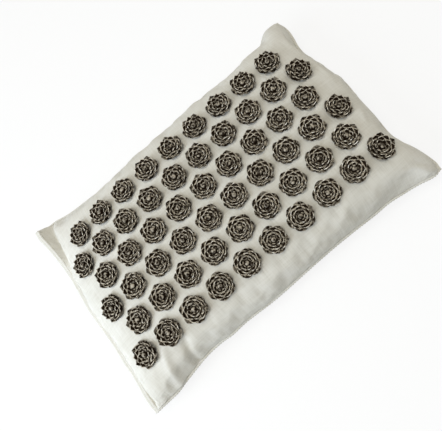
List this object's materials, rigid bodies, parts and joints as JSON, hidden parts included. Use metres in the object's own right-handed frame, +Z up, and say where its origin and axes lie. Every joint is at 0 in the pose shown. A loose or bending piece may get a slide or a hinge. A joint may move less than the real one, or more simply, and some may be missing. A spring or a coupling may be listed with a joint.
{
  "type": "acupressure cushion mat",
  "caption": "Stuffed linen acupressure cushion with a crowned flat-topped body, eared corners and staggered rows of moulded plastic lotus discs on its top panel.",
  "frame": {"origin": "on the resting surface, under the middle of the cushion's bounding box", "axes": "+X along the cushion towards the end opposite the last-sewn one, +Y across it towards the first row of discs, +Z up"},
  "size_m": [0.394, 0.2562, 0.0695],
  "materials": {
    "linen": "natural undyed linen, plain weave, matt",
    "filling": "loose plant fibre stuffing, unseen",
    "disc_plastic": "moulded dark brown ABS, low sheen"
  },
  "bodies": {
    "root": {"cover_top": "linen", "cover_bottom": "linen", "filling": "filling", "disc_r1_c1": "disc_plastic", "disc_r1_c2": "disc_plastic", "disc_r1_c3": "disc_plastic", "disc_r1_c4": "disc_plastic", "disc_r1_c5": "disc_plastic", "disc_r1_c6": "disc_plastic", "disc_r1_c7": "disc_plastic", "disc_r1_c8": "disc_plastic", "disc_r1_c9": "disc_plastic", "disc_r2_c1": "disc_plastic", "disc_r2_c2": "disc_plastic", "disc_r2_c3": "disc_plastic", "disc_r2_c4": "disc_plastic", "disc_r2_c5": "disc_plastic", "disc_r2_c6": "disc_plastic", "disc_r2_c7": "disc_plastic", "disc_r2_c8": "disc_plastic", "disc_r2_c9": "disc_plastic", "disc_r2_c10": "disc_plastic", "disc_r3_c1": "disc_plastic", "disc_r3_c2": "disc_plastic", "disc_r3_c3": "disc_plastic", "disc_r3_c4": "disc_plastic", "disc_r3_c5": "disc_plastic", "disc_r3_c6": "disc_plastic", "disc_r3_c7": "disc_plastic", "disc_r3_c8": "disc_plastic", "disc_r3_c9": "disc_plastic", "disc_r4_c1": "disc_plastic", "disc_r4_c2": "disc_plastic", "disc_r4_c3": "disc_plastic", "disc_r4_c4": "disc_plastic", "disc_r4_c5": "disc_plastic", "disc_r4_c6": "disc_plastic", "disc_r4_c7": "disc_plastic", "disc_r4_c8": "disc_plastic", "disc_r4_c9": "disc_plastic", "disc_r4_c10": "disc_plastic", "disc_r5_c1": "disc_plastic", "disc_r5_c2": "disc_plastic", "disc_r5_c3": "disc_plastic", "disc_r5_c4": "disc_plastic", "disc_r5_c5": "disc_plastic", "disc_r5_c6": "disc_plastic", "disc_r5_c7": "disc_plastic", "disc_r5_c8": "disc_plastic", "disc_r5_c9": "disc_plastic", "disc_r6_c1": "disc_plastic", "disc_r6_c2": "disc_plastic", "disc_r6_c3": "disc_plastic", "disc_r6_c4": "disc_plastic", "disc_r6_c5": "disc_plastic", "disc_r6_c6": "disc_plastic", "disc_r6_c7": "disc_plastic", "disc_r6_c8": "disc_plastic", "disc_r6_c9": "disc_plastic", "disc_r6_c10": "disc_plastic"}
  },
  "joints": []
}
